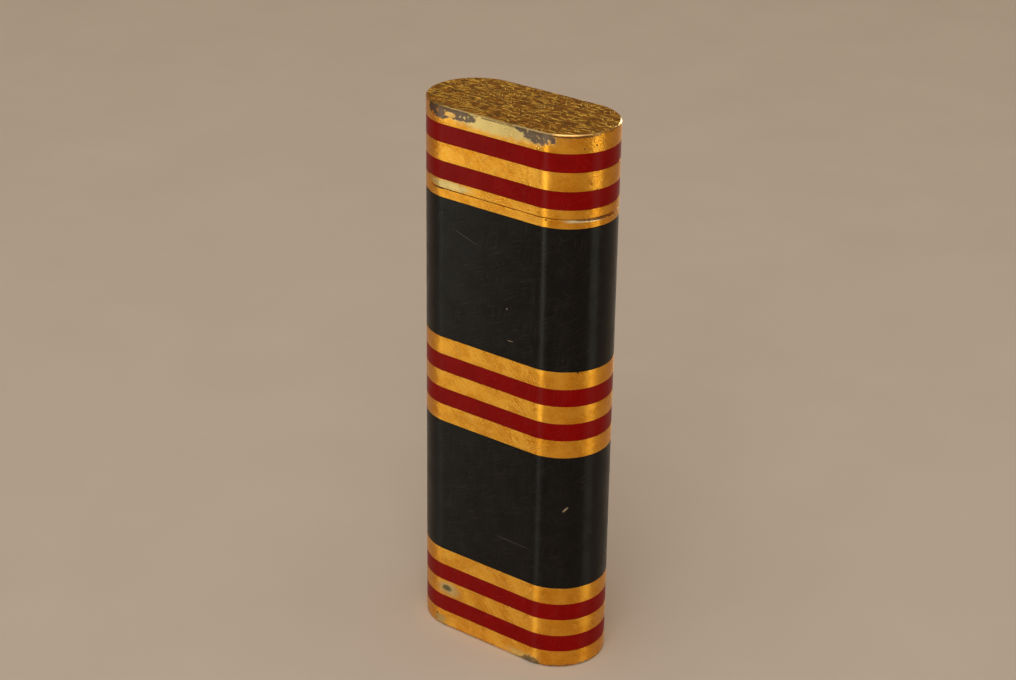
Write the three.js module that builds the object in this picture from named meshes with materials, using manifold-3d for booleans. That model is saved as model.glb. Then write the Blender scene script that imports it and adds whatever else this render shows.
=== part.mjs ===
// A slim oval pocket gas lighter with a flip-top lid, in gold plate with red and black lacquer.
// Millimetres, +Z up. The origin is the middle of the base, +X points at the end of the lid that
// lifts, and the hinge is at the -X end. The two broad faces look along -Y and +Y.
import * as THREE from "three";
import { mergeVertices } from "three/addons/utils/BufferGeometryUtils.js";
import Module from "manifold-3d";

const wasm = await Module();
wasm.setup();

// ---------------------------------------------------------------- driving dimensions

// Outside of the closed lighter.
const height = 70;
const length = 25.4;
const depth = 12.05;
const bandPitch = 2.26; // one gold or red band, five to a group
const baseChamfer = 0.25;
const lidEdge = 0.15; // chamfer round the top of the lid
const thumbBevelRun = 1.75; // cut across the casing rim at the end that lifts
const thumbBevelDrop = 0.31;
const seamGap = 0.1; // between the casing rim and the lid rim

// Sheet and lacquer.
const wall = 0.7;
const lidTop = 0.8;
const linerWall = 0.35;
const lacquer = 0.2;
const lacquerGap = 0.02;
const fit = 0.05; // between fixed pieces that sit together
const running = 0.07; // around pieces that turn or slide

// Hinge at the -X end, its axis along Y.
const hingeInset = 0.95; // from the end of the case to the pin
const windowWidth = 10.6; // cut through both shells, one gold band high
const barrelWall = 1.2;
const barrelReach = 4.6; // from the pin towards the middle
const pinRadius = 0.38;
const pinLength = 4;
const knuckleRadius = 0.92;
const knuckleWidth = 1.6;
const leafThickness = 0.45;
const leafWidth = 5.2;
const leafHeight = 5.3;
const footStart = 0.9; // from the pin towards the middle
const footEnd = 1.5;
const bridgeEnd = 2.05;
const bridgeRise = 0.35; // of the underside of the bridge above the pin
const knuckleGap = 0.85; // from the middle to either fixed knuckle

// Base plate, tank and deck.
const baseThickness = 1.2;
const tankLift = 0.3; // of the tank above the base plate
const tankClearance = 0.2; // between the tank and the casing
const tankWall = 0.6;
const tankFloor = 1.2;
const tankGap = 0.4; // from the flat end of the tank to the flint tube
const tankBelowSeam = 9.83;
const deckBelowSeam = 2.23;
const deckThickness = 1.2;
const deckClearance = 0.1; // between the deck and the casing
const collarWall = 0.45;
const collarRise = 0.95; // above the seam

// Burner, in the middle of the wind guard.
const burnerFromHinge = 7.95;
const valveRadius = 2.1;
const valveDrop = 6; // below the tank roof
const valveRise = 3; // above the tank roof
const flangeRadius = 2.9;
const flangeThickness = 0.8;
const chamberRadius = 1.5;
const chamberFloor = 0.8;
const inletRadius = 0.6;
const filterRadius = 1.4;
const filterThickness = 0.75;
const sealRadius = 1.2;
const sealThickness = 0.8;
const jetRadius = 0.7;
const jetShoulder = 1.3;
const shoulderHeight = 0.7;
const jetHeadHeight = 1.05;
const jetRimHeight = 0.6; // the straight part of the head
const jetBoreRadius = 0.25;
const jetBoreDepth = 1;
const nutHoleRadius = 0.8;
const nutPlug = 1.5;
const nutHead = 0.75;
const valveSpringRadius = 1.05;
const valveWire = 0.3;
const valveTurns = 5;

// Wind guard.
const guardWidth = 8.2;
const guardCorner = 2.5;
const guardWall = 0.4;
const guardHeight = 8.55; // above the deck
const guardMouth = 5.6;
const mouthCorner = 1.2;
const guardSlotWidth = 0.9;
const guardSlotPitch = 1.9;
const guardSlotHeight = 4;
const guardSlotBase = 2.9; // above the deck
const sparkWindow = 4.5;
const sparkWindowBase = 1.4;
const leverWindowWidth = 3.4;
const leverWindowHeight = 2.6;

// Gas lever, a bell crank between the lid hinge and the burner.
const leverFromHinge = 3.05;
const leverRise = 0.37; // above the hinge
const leverHub = 0.8;
const leverPinRadius = 0.38;
const armInner = 0.85;
const armOuter = 1.5;
const armThickness = 0.5;
const armDrop = 0.5; // from the pivot to the top of the arms
const armPastBurner = 0.8;
const tailHalfWidth = 0.65;
const earInner = 1.7;
const earOuter = 2.3;
const earHalfWidth = 0.6;
const earRise = 0.8;

// Lid spring, a bent leaf under the deck.
const leafSpringThickness = 0.35;
const leafSpringWidth = 2.4;
const leafSpringReach = 4.9;
const springTipWidth = 1.2;
const springScrewFromBurner = 4.1;

// Striker.
const strikerFromEnd = 6;
const strikerRise = 2.97; // above the seam
const wheelRadius = 3.2;
const wheelWidth = 3;
const wheelTeeth = 30;
const toothDepth = 0.28;
const rimRadius = 3.5;
const rimWidth = 1.2;
const rimRidges = 24;
const ridgeDepth = 0.18;
const axleRadius = 0.65;
const cheekInner = 3.1;
const cheekThickness = 0.8;
const cheekHalfWidth = 2;
const footThickness = 0.55;
const footReach = 4.3; // from the striker axis towards the burner

// Flint column.
const flintTubeOuter = 1.9;
const flintTubeBore = 1.3;
const flintTubeTop = 1.4; // above the deck
const flintRadius = 1.2;
const flintLength = 5.6;
const flintGap = 0.03; // from the wheel
const plungerHeight = 1.3;
const flintWire = 0.3;
const flintSpringRadius = 0.95;
const flintSpringPitch = 3.6;
const flintScrewHead = 2.2;
const flintScrewShank = 6.5;

// Screws and valves in the base.
const screwRecess = 0.25;
const headClearance = 0.15;
const slotWidth = 0.5;
const slotDepth = 0.4;
const regulatorRadius = 0.8;
const regulatorTip = 0.5;
const regulatorTipLength = 0.9;
const regulatorHead = 1.2;
const sealRingRadius = 1.12;
const sealRingWire = 0.27;
const sealSeatRadius = 1.5;
const sealSeatDepth = 0.65;
const fillerClearance = 0.3; // between the filler valve and the end wall of the tank
const fillerRadius = 1.9;
const fillerNeck = 1.7;
const fillerHeight = 7.5; // inside the tank, from the underside of its floor
const fillerPort = 0.9;
const fillerChamber = 1.4;
const fillerFloor = 1.5;
const fillerRoof = 0.8;
const fillerOutlet = 0.65;
const stemRadius = 0.75;
const stemShoulder = 1.25;
const stemShoulderHeight = 0.8;
const stemGuide = 0.5;
const stemGuideLength = 0.8;
const fillerSealRadius = 1.05;
const fillerSealWire = 0.2;
const fillerSpringRadius = 1;
const fillerWire = 0.22;
const fillerTurns = 5;

// Screws on the deck.
const smallScrewHead = 0.9;
const smallScrewHeadHeight = 0.6;
const smallScrewShank = 0.45;
const deckScrewFromStriker = 3.1;
const deckScrewSpread = 2.6;

// Facets.
const endFacets = 12; // on each round end of the case
const roundFacets = 16;
const wireFacets = 5;
const coilSteps = 10; // a turn

// ---------------------------------------------------------------- levels and places

const radius = depth / 2;
const endCentre = length / 2 - radius;
const bandGroup = 5 * bandPitch;
const blackHeight = (height - 3 * bandGroup) / 2;
const middleLow = bandGroup + blackHeight;
const lidBandsLow = height - bandGroup;
const seamZ = lidBandsLow + bandPitch / 2;
const rimZ = seamZ - seamGap / 2;
const lidLow = seamZ + seamGap / 2;
const groove = lacquer + lacquerGap;

const hingeX = -length / 2 + hingeInset;
const windowHalf = bandPitch / 2;
const windowEnd = hingeX + barrelReach + fit;
const burnerX = hingeX + burnerFromHinge;
const strikerX = length / 2 - strikerFromEnd;
const tankX = strikerX - flintTubeOuter - tankGap;
const fillerX = tankX - tankWall - fillerClearance - fillerRadius;
const strikerZ = seamZ + strikerRise;
const leverX = hingeX + leverFromHinge;
const leverZ = seamZ + leverRise;
const armTop = leverZ - armDrop;
const tankInset = wall + tankClearance;
const tankLow = baseThickness + tankLift;
const tankHigh = seamZ - tankBelowSeam;
const deckInset = wall + deckClearance;
const deckTop = seamZ - deckBelowSeam;
const deckLow = deckTop - deckThickness;

// ---------------------------------------------------------------- materials

function finish(color, roughness, metalness) {
  return new THREE.MeshStandardMaterial({ color, roughness, metalness });
}

const goldPlate = finish(0xc08a3c, 0.3, 1);
const redLacquer = finish(0x860d0b, 0.3, 0);
const blackLacquer = finish(0x1e1a19, 0.35, 0);
const brass = finish(0xb08a48, 0.35, 1);
const steel = finish(0x9a9a98, 0.35, 1);
const darkSteel = finish(0x55534f, 0.5, 1);
const nickelPlate = finish(0xbdb8ae, 0.25, 1);
const rubber = finish(0x1b1b1b, 0.8, 0);
const flintAlloy = finish(0x4b4844, 0.75, 0.4);
const sintered = finish(0x9c8768, 0.9, 0.3);

// ---------------------------------------------------------------- shapes

// A closed three.js geometry as a solid that can be joined and cut.
function solid(geometry) {
  const bare = new THREE.BufferGeometry();
  bare.setAttribute("position", geometry.getAttribute("position"));
  bare.setIndex(geometry.index);
  const merged = mergeVertices(bare, 1e-4);
  const mesh = new wasm.Mesh({
    numProp: 3,
    vertProperties: new Float32Array(merged.getAttribute("position").array),
    triVerts: new Uint32Array(merged.index.array),
  });
  return new wasm.Manifold(mesh);
}

// The corners of the oval, drawn in by inset, counter-clockwise from above.
function ovalOutline(inset) {
  const corners = [];
  for (const side of [1, -1]) {
    for (let step = 0; step <= endFacets; step += 1) {
      const angle = Math.PI * (step / endFacets - 0.5);
      const x = side * (endCentre + (radius - inset) * Math.cos(angle));
      const y = side * (radius - inset) * Math.sin(angle);
      corners.push(new THREE.Vector2(x, y));
    }
  }
  return corners;
}

// A plate of any outline.
function plate(outline, low, high) {
  const options = { depth: high - low, bevelEnabled: false };
  const shape = new THREE.Shape(outline);
  return solid(new THREE.ExtrudeGeometry(shape, options).translate(0, 0, low));
}

// A solid oval, drawn in by inset.
function oval(inset, low, high) {
  return plate(ovalOutline(inset), low, high);
}

// An oval ring with the closed section given as [inset, z] points, up the outside first.
function ovalRing(section) {
  const positions = [];
  const faces = [];
  for (const [inset, z] of section) {
    for (const corner of ovalOutline(inset)) {
      positions.push(corner.x, corner.y, z);
    }
  }
  const around = 2 * (endFacets + 1);
  for (let row = 0; row < section.length; row += 1) {
    for (let column = 0; column < around; column += 1) {
      const nextRow = ((row + 1) % section.length) * around;
      const nextColumn = (column + 1) % around;
      const a = row * around + column;
      const b = row * around + nextColumn;
      const c = nextRow + nextColumn;
      const d = nextRow + column;
      faces.push(a, b, c, a, c, d);
    }
  }
  const geometry = new THREE.BufferGeometry();
  geometry.setAttribute("position", new THREE.Float32BufferAttribute(positions, 3));
  geometry.setIndex(faces);
  return solid(geometry);
}

// A plain oval ring between two insets.
function ovalBand(outer, inner, low, high) {
  return ovalRing([[outer, low], [outer, high], [inner, high], [inner, low]]);
}

// A block between two corners.
function block(x0, x1, y0, y1, z0, z1) {
  const geometry = new THREE.BoxGeometry(x1 - x0, y1 - y0, z1 - z0);
  return solid(geometry.translate((x0 + x1) / 2, (y0 + y1) / 2, (z0 + z1) / 2));
}

// An upright cylinder.
function upright(r, low, high, x = 0, y = 0) {
  const geometry = new THREE.CylinderGeometry(r, r, high - low, roundFacets);
  return solid(geometry.rotateX(Math.PI / 2).translate(x, y, (low + high) / 2));
}

// A cylinder along Y, as wide as given and centred on the XZ plane.
function crosswise(r, width, x = 0, z = 0) {
  const geometry = new THREE.CylinderGeometry(r, r, width, roundFacets);
  return solid(geometry.translate(x, 0, z));
}

// A piece turned about Z, from [radius, z] points, up the outside first.
function turned(points) {
  const outline = points.map(([r, z]) => new THREE.Vector2(r, z));
  outline.push(outline[0].clone());
  return solid(new THREE.LatheGeometry(outline, roundFacets).rotateX(Math.PI / 2));
}

// A side view of [x, z] points, given a thickness along Y.
function sideView(points, y0, y1) {
  const shape = new THREE.Shape(points.map(([x, z]) => new THREE.Vector2(x, z)));
  const options = { depth: y1 - y0, bevelEnabled: false };
  const geometry = new THREE.ExtrudeGeometry(shape, options);
  return solid(geometry.rotateX(Math.PI / 2).translate(0, y1, 0));
}

// The corners of a rectangle with round corners, centred on the origin.
function roundRectangle(width, corner) {
  const flat = width / 2 - corner;
  const corners = [];
  for (let quarter = 0; quarter < 4; quarter += 1) {
    const turn = (quarter * Math.PI) / 2;
    const centre = new THREE.Vector2(flat, flat).rotateAround(new THREE.Vector2(), turn);
    for (let step = 0; step <= 5; step += 1) {
      const angle = turn + (step / 5) * (Math.PI / 2);
      corners.push(new THREE.Vector2(Math.cos(angle), Math.sin(angle)).multiplyScalar(corner).add(centre));
    }
  }
  return corners;
}

// The helix that a coil spring's wire follows, about Z.
class Helix extends THREE.Curve {
  constructor(coilRadius, low, high, turns) {
    super();
    Object.assign(this, { coilRadius, low, high, turns });
  }

  getPoint(along, target = new THREE.Vector3()) {
    const angle = 2 * Math.PI * this.turns * along;
    const z = this.low + (this.high - this.low) * along;
    return target.set(this.coilRadius * Math.cos(angle), this.coilRadius * Math.sin(angle), z);
  }
}

// A coil spring of round wire that fills the height between low and high.
function coil(coilRadius, wire, low, high, turns) {
  const section = new THREE.Shape();
  for (let side = 0; side < wireFacets; side += 1) {
    const angle = (2 * Math.PI * side) / wireFacets;
    const x = (wire / 2) * Math.cos(angle);
    const y = (wire / 2) * Math.sin(angle);
    if (side === 0) section.moveTo(x, y);
    else section.lineTo(x, y);
  }
  const path = new Helix(coilRadius, low + wire / 2, high - wire / 2, turns);
  const steps = Math.ceil(turns * coilSteps);
  return solid(new THREE.ExtrudeGeometry(section, { steps, extrudePath: path }));
}

// A rubber ring lying flat.
function sealRing(ringRadius, wire, z) {
  return solid(new THREE.TorusGeometry(ringRadius, wire, 6, roundFacets).translate(0, 0, z));
}

// A wheel about the Y axis with pointed teeth or ridges and a bore.
function toothedWheel(outer, toothHeight, teeth, y0, y1) {
  const points = [];
  for (let tooth = 0; tooth < teeth; tooth += 1) {
    const angle = (2 * Math.PI * tooth) / teeth;
    const back = angle + (0.62 * 2 * Math.PI) / teeth;
    points.push([outer * Math.cos(angle), outer * Math.sin(angle)]);
    points.push([(outer - toothHeight) * Math.cos(back), (outer - toothHeight) * Math.sin(back)]);
  }
  return sideView(points, y0, y1).subtract(crosswise(axleRadius + running, 3 * rimRadius));
}

// ---------------------------------------------------------------- the assembly

const lighter = new THREE.Group();

// A nested group whose origin is at the given point.
function assembly(x, z) {
  const group = new THREE.Group();
  group.position.set(x, 0, z);
  lighter.add(group);
  return group;
}

const hinge = assembly(hingeX, seamZ);
const lid = assembly(hingeX, seamZ);
const lever = assembly(leverX, leverZ);
const burner = assembly(burnerX, 0);
const filler = assembly(fillerX, 0);
const flintColumn = assembly(strikerX, 0);
const striker = assembly(strikerX, strikerZ);

// Hangs a finished piece in its group, as one named mesh. Its shape is in the group's own frame.
function hang(group, name, shape, material) {
  const made = shape.getMesh();
  const geometry = new THREE.BufferGeometry();
  geometry.setAttribute("position", new THREE.BufferAttribute(made.vertProperties, made.numProp));
  geometry.setIndex(new THREE.BufferAttribute(made.triVerts, 1));
  geometry.computeVertexNormals();
  const mesh = new THREE.Mesh(geometry, material);
  mesh.name = name;
  group.add(mesh);
}

// Hangs a piece that was drawn in the frame of the whole lighter.
function hangWhole(group, name, shape, material) {
  const { x, y, z } = group.position;
  hang(group, name, shape.translate([-x, -y, -z]), material);
}

// ---------------------------------------------------------------- lacquer and shells

const lacquerFields = [
  { name: "red_band_base_lower", low: bandPitch, high: 2 * bandPitch },
  { name: "red_band_base_upper", low: 3 * bandPitch, high: 4 * bandPitch },
  { name: "black_field_lower", low: bandGroup, high: middleLow },
  { name: "red_band_middle_lower", low: middleLow + bandPitch, high: middleLow + 2 * bandPitch },
  { name: "red_band_middle_upper", low: middleLow + 3 * bandPitch, high: middleLow + 4 * bandPitch },
  { name: "black_field_upper", low: middleLow + bandGroup, high: lidBandsLow },
  { name: "red_band_lid_lower", low: lidBandsLow + bandPitch, high: lidBandsLow + 2 * bandPitch },
  { name: "red_band_lid_upper", low: lidBandsLow + 3 * bandPitch, high: lidBandsLow + 4 * bandPitch },
];

// The outer line of a shell where lacquer is let into it, from low to high.
function groovedLine(fields) {
  return fields.flatMap(({ low, high }) => [[0, low], [groove, low], [groove, high], [0, high]]);
}

const onCasing = lacquerFields.filter((field) => field.high < seamZ);
const onLid = lacquerFields.filter((field) => field.low > seamZ);

for (const field of lacquerFields) {
  const ring = ovalBand(0, lacquer, field.low + lacquerGap, field.high - lacquerGap);
  const material = field.name.startsWith("red") ? redLacquer : blackLacquer;
  hangWhole(onLid.includes(field) ? lid : lighter, field.name, ring, material);
}

// The hinge window in either shell, between two heights.
function hingeWindow(low, high) {
  return block(-length, windowEnd, -windowWidth / 2, windowWidth / 2, low, high);
}

function makeCasing() {
  const section = [[baseChamfer, 0], [0, baseChamfer], ...groovedLine(onCasing)];
  section.push([0, rimZ], [wall, rimZ], [wall, 0]);
  const end = length / 2;
  const slope = thumbBevelDrop / thumbBevelRun;
  const bevel = [
    [end - thumbBevelRun, rimZ],
    [end + 1, rimZ - slope * (thumbBevelRun + 1)],
    [end + 1, rimZ + 1],
  ];
  return ovalRing(section)
    .subtract(hingeWindow(seamZ - windowHalf, height))
    .subtract(sideView(bevel, -depth, depth));
}

function makeLidShell() {
  const section = [[0, lidLow], ...groovedLine(onLid), [0, height - lidEdge], [lidEdge, height]];
  section.push([wall, height], [wall, lidLow]);
  return ovalRing(section)
    .add(oval(wall - fit, height - lidTop, height))
    .subtract(hingeWindow(0, seamZ + windowHalf));
}

const linerLow = seamZ + barrelWall;
const linerHigh = height - lidTop - fit;
const linerOuter = wall + fit;
const linerInner = linerOuter + linerWall;
const liner = oval(linerOuter, linerLow, linerHigh).subtract(oval(linerInner, 0, linerHigh - linerWall));

hang(lighter, "body_casing", makeCasing(), goldPlate);
hangWhole(lid, "lid_shell", makeLidShell(), goldPlate);
hangWhole(lid, "lid_liner", liner, brass);

// ---------------------------------------------------------------- hinge

// The fixed half: a bullet-shaped bar that fills the window flush with the case, on a foot, with
// a gap for the lid's knuckle and a bridge that joins its two ends behind it.
function makeBarrel() {
  const half = windowHalf - running;
  const bullet = crosswise(half, windowWidth - 2 * fit)
    .add(block(0, barrelReach, fit - windowWidth / 2, windowWidth / 2 - fit, -half, half))
    .translate([hingeX, 0, seamZ]);
  const hollow = oval(barrelWall, 0, height)
    .intersect(block(hingeX + footEnd, length, -depth, depth, 0, height));
  const foot = block(hingeX + footStart, hingeX + footEnd, -4, 4, deckTop + fit, seamZ);
  const middle = block(-length, hingeX + footEnd + fit, -knuckleGap, knuckleGap, 0, height);
  const bridgeLow = seamZ + bridgeRise;
  const bridge = block(hingeX + footEnd - 0.1, hingeX + bridgeEnd, -1, 1, bridgeLow, seamZ + half);
  return bullet
    .intersect(oval(0, 0, height))
    .subtract(hollow)
    .add(foot.intersect(oval(wall + fit, 0, height)))
    .subtract(middle)
    .add(bridge)
    .subtract(crosswise(pinRadius + fit, pinLength + 2 * fit, hingeX, seamZ));
}

// The lid's half: a knuckle with a flat for the spring, an arm and a leaf curved to the liner.
function makeLidLeaf() {
  const leafOuter = linerInner + fit;
  const leafLow = seamZ + barrelWall;
  const curved = ovalBand(leafOuter, leafOuter + leafThickness, leafLow, leafLow + leafHeight)
    .intersect(block(-length, -endCentre, -leafWidth / 2, leafWidth / 2, 0, height));
  const armStart = hingeX - hingeInset + leafOuter + 2 * fit;
  const half = knuckleWidth / 2;
  const arm = block(armStart, armStart + leafThickness - 2 * fit, -half, half, seamZ, leafLow + 0.1);
  return crosswise(knuckleRadius, knuckleWidth, hingeX, seamZ)
    .subtract(block(-length, 0, -1, 1, 0, seamZ - knuckleRadius + 0.1))
    .add(arm)
    .add(curved)
    .subtract(crosswise(pinRadius + fit, pinLength, hingeX, seamZ));
}

hangWhole(hinge, "hinge_barrel", makeBarrel(), goldPlate);
hang(hinge, "hinge_pin", crosswise(pinRadius, pinLength), steel);
hangWhole(lid, "lid_hinge_leaf", makeLidLeaf(), brass);

// ---------------------------------------------------------------- base, tank and deck

const regulatorHoleRadius = regulatorHead + headClearance / 2;
const basePlate = oval(wall + fit, 0, baseThickness)
  .subtract(upright(regulatorHoleRadius, -1, 2, burnerX))
  .subtract(upright(fillerNeck + fit, -1, 2, fillerX))
  .subtract(upright(flintScrewHead + headClearance, -1, 2, strikerX));

const tankInside = oval(tankInset + tankWall, tankLow + tankFloor, tankHigh - tankFloor)
  .intersect(block(-length, tankX - tankWall, -depth, depth, 0, height));
const tank = oval(tankInset, tankLow, tankHigh)
  .intersect(block(-length, tankX, -depth, depth, 0, height))
  .subtract(tankInside)
  .subtract(upright(valveRadius + fit, tankHigh - 2 * tankFloor, height, burnerX))
  .subtract(upright(fillerRadius + fit, 0, tankLow + 2 * tankFloor, fillerX))
  .subtract(upright(regulatorRadius + 2 * running, 0, tankLow + 2 * tankFloor, burnerX))
  .subtract(upright(sealSeatRadius, 0, tankLow + sealSeatDepth, burnerX));

const springScrewX = burnerX - springScrewFromBurner;
const deckScrewX = strikerX - deckScrewFromStriker;

// The chassis plate with its upstanding collar and the two ears that carry the gas lever.
function makeDeck() {
  const inner = deckInset + collarWall;
  const collar = ovalBand(deckInset, inner, deckLow, seamZ + collarRise)
    .subtract(block(-length, windowEnd, -depth, depth, deckTop, height));
  const ears = [-1, 1].map((side) => {
    const middle = (side * (earInner + earOuter)) / 2;
    const half = (earOuter - earInner) / 2;
    const top = leverZ + earRise;
    return block(leverX - earHalfWidth, leverX + earHalfWidth, middle - half, middle + half, deckLow, top);
  });
  return oval(deckInset, deckLow, deckTop)
    .add(collar)
    .add(ears[0])
    .add(ears[1])
    .subtract(crosswise(leverPinRadius + fit, depth, leverX, leverZ))
    .subtract(upright(2 * guardSlotWidth, 0, height, burnerX))
    .subtract(upright(flintTubeOuter + fit, 0, height, strikerX))
    .subtract(upright(smallScrewShank + fit, 0, height, springScrewX))
    .subtract(upright(smallScrewShank + fit, 0, height, deckScrewX, deckScrewSpread))
    .subtract(upright(smallScrewShank + fit, 0, height, deckScrewX, -deckScrewSpread))
    .subtract(block(-length, hingeX + 0.35, -0.7, 0.7, 0, height));
}

hang(lighter, "base_plate", basePlate, goldPlate);
hang(lighter, "fuel_tank", tank, brass);
hang(lighter, "deck_plate", makeDeck(), nickelPlate);

// ---------------------------------------------------------------- burner

const valveLow = tankHigh - valveDrop;
const flangeLow = tankHigh + fit;
const valveTop = tankHigh + valveRise;
const chamberLow = valveLow + chamberFloor;
hang(burner, "burner_valve_body", turned([
  [inletRadius, valveLow],
  [valveRadius, valveLow],
  [valveRadius, flangeLow],
  [flangeRadius, flangeLow],
  [flangeRadius, flangeLow + flangeThickness],
  [valveRadius, flangeLow + flangeThickness],
  [valveRadius, valveTop],
  [chamberRadius, valveTop],
  [chamberRadius, chamberLow],
  [inletRadius, chamberLow],
]), brass);

const filterLow = chamberLow + fit;
const sealLow = filterLow + filterThickness + 2 * fit;
const jetLow = sealLow + sealThickness + fit;
const jetHeadLow = armTop + 3 * fit;
const springLow = jetLow + shoulderHeight + 2 * fit;
const nutLow = valveTop - nutPlug;
hang(burner, "filter_disc", upright(filterRadius, filterLow, filterLow + filterThickness), sintered);
hang(burner, "jet_seal", upright(sealRadius, sealLow, sealLow + sealThickness), rubber);

const jet = turned([
  [0, jetLow],
  [jetShoulder, jetLow],
  [jetShoulder, jetLow + shoulderHeight],
  [jetRadius, jetLow + shoulderHeight],
  [jetRadius, jetHeadLow],
  [jetShoulder, jetHeadLow],
  [jetShoulder, jetHeadLow + jetRimHeight],
  [jetRadius, jetHeadLow + jetHeadHeight],
  [0, jetHeadLow + jetHeadHeight],
]);
const jetTop = jetHeadLow + jetHeadHeight;
hang(burner, "burner_jet", jet.subtract(upright(jetBoreRadius, jetTop - jetBoreDepth, jetTop + 1)), brass);
hang(burner, "valve_spring", coil(
  valveSpringRadius, valveWire, springLow, nutLow - 2 * fit, valveTurns,
), steel);
hang(burner, "valve_nut", turned([
  [nutHoleRadius, nutLow],
  [chamberRadius - 2 * fit, nutLow],
  [chamberRadius - 2 * fit, valveTop + fit],
  [valveRadius, valveTop + fit],
  [valveRadius, valveTop + fit + nutHead],
  [nutHoleRadius, valveTop + fit + nutHead],
]), brass);

// The wind guard: a square tube with round corners, slots in its sides and a mouth in its top.
function makeGuard() {
  const low = deckTop + fit;
  const high = deckTop + guardHeight;
  const slotLow = deckTop + guardSlotBase;
  const sparkLow = deckTop + sparkWindowBase;
  const leverHigh = deckTop + leverWindowHeight;
  let guard = plate(roundRectangle(guardWidth, guardCorner), low, high)
    .subtract(plate(roundRectangle(guardWidth - 2 * guardWall, guardCorner - guardWall), 0, high - guardWall))
    .subtract(plate(roundRectangle(guardMouth, mouthCorner), 0, height))
    .subtract(block(-guardWidth, 0, -leverWindowWidth / 2, leverWindowWidth / 2, 0, leverHigh))
    .subtract(block(0, guardWidth, -sparkWindow / 2, sparkWindow / 2, sparkLow, sparkLow + sparkWindow));
  for (const column of [-1, 0, 1]) {
    const x = column * guardSlotPitch;
    const half = guardSlotWidth / 2;
    guard = guard.subtract(block(x - half, x + half, -depth, depth, slotLow, slotLow + guardSlotHeight));
  }
  return guard;
}

hang(burner, "windshield", makeGuard(), nickelPlate);

// ---------------------------------------------------------------- flame regulator

// Cuts a screwdriver slot into a head whose flat end is at z, from below.
function slotFromBelow(shape, headRadius, z) {
  const reach = 2 * headRadius;
  return shape.subtract(block(-reach, reach, -slotWidth / 2, slotWidth / 2, z - 1, z + slotDepth));
}

const regulator = turned([
  [0, screwRecess],
  [regulatorHead, screwRecess],
  [regulatorHead, tankLow - 2 * fit],
  [regulatorRadius, tankLow - 2 * fit],
  [regulatorRadius, valveLow - 2 * fit],
  [regulatorTip, valveLow - 2 * fit],
  [regulatorTip, valveLow + regulatorTipLength - 3 * fit],
  [0, valveLow + regulatorTipLength - 3 * fit],
]);
const sealRingZ = tankLow + sealSeatDepth / 2;
hang(burner, "flame_regulator", slotFromBelow(regulator, regulatorHead, screwRecess), brass);
hang(burner, "regulator_seal", sealRing(sealRingRadius, sealRingWire, sealRingZ), rubber);

// ---------------------------------------------------------------- gas lever and lid spring

// In the frame of its pivot: a hub, two arms that straddle the burner, and a tail.
function makeLever() {
  const reach = burnerX - leverX + armPastBurner;
  const middle = (armInner + armOuter) / 2;
  const half = (armOuter - armInner) / 2;
  const tail = [[0.1, -0.7], [0.1, 0.1], [-1.95, -1], [-1.95, -1.5]];
  const arms = [-1, 1].map((side) => {
    const y = side * middle;
    return block(-0.3, reach, y - half, y + half, -armDrop - armThickness, -armDrop);
  });
  return crosswise(leverHub, 2 * armOuter)
    .add(arms[0])
    .add(arms[1])
    .add(sideView(tail, -tailHalfWidth, tailHalfWidth))
    .subtract(crosswise(leverPinRadius + fit, depth));
}

hang(lever, "gas_lever", makeLever(), steel);
hang(lever, "lever_pin", crosswise(leverPinRadius, 2 * earOuter), steel);

// The leaf lies under the deck and its tip stands up through the deck to the lid's knuckle.
function makeLidSpring() {
  const top = deckLow - fit;
  const low = top - leafSpringThickness;
  const tipTop = seamZ - knuckleRadius - fit;
  const start = hingeX - 0.15;
  const leaf = block(start, start + leafSpringReach, -leafSpringWidth / 2, leafSpringWidth / 2, low, top);
  const tip = block(start, start + leafSpringThickness, -springTipWidth / 2, springTipWidth / 2, low, tipTop);
  return leaf
    .add(tip)
    .intersect(oval(wall + fit, 0, height))
    .subtract(upright(smallScrewShank + fit, 0, height, springScrewX));
}

const screwHeadTop = deckLow - 2 * fit - leafSpringThickness;
const springScrew = upright(smallScrewHead, screwHeadTop - smallScrewHeadHeight, screwHeadTop)
  .add(upright(smallScrewShank, screwHeadTop - fit, deckTop - 0.3));
const slottedSpringScrew = slotFromBelow(springScrew, smallScrewHead, screwHeadTop - smallScrewHeadHeight);
hang(lighter, "lid_spring", makeLidSpring(), steel);
hangWhole(lighter, "spring_screw", slottedSpringScrew.translate([springScrewX, 0, 0]), steel);

// ---------------------------------------------------------------- striker

const rimInner = wheelWidth / 2 + 0.1;
hang(striker, "striker_wheel", toothedWheel(
  wheelRadius, toothDepth, wheelTeeth, -wheelWidth / 2, wheelWidth / 2,
), darkSteel);
hang(striker, "thumb_rim_front", toothedWheel(
  rimRadius, ridgeDepth, rimRidges, -rimInner - rimWidth, -rimInner,
), nickelPlate);
hang(striker, "thumb_rim_back", toothedWheel(
  rimRadius, ridgeDepth, rimRidges, rimInner, rimInner + rimWidth,
), nickelPlate);
hang(striker, "striker_axle", crosswise(axleRadius, 2 * (cheekInner + cheekThickness) - 2 * fit), steel);

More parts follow.
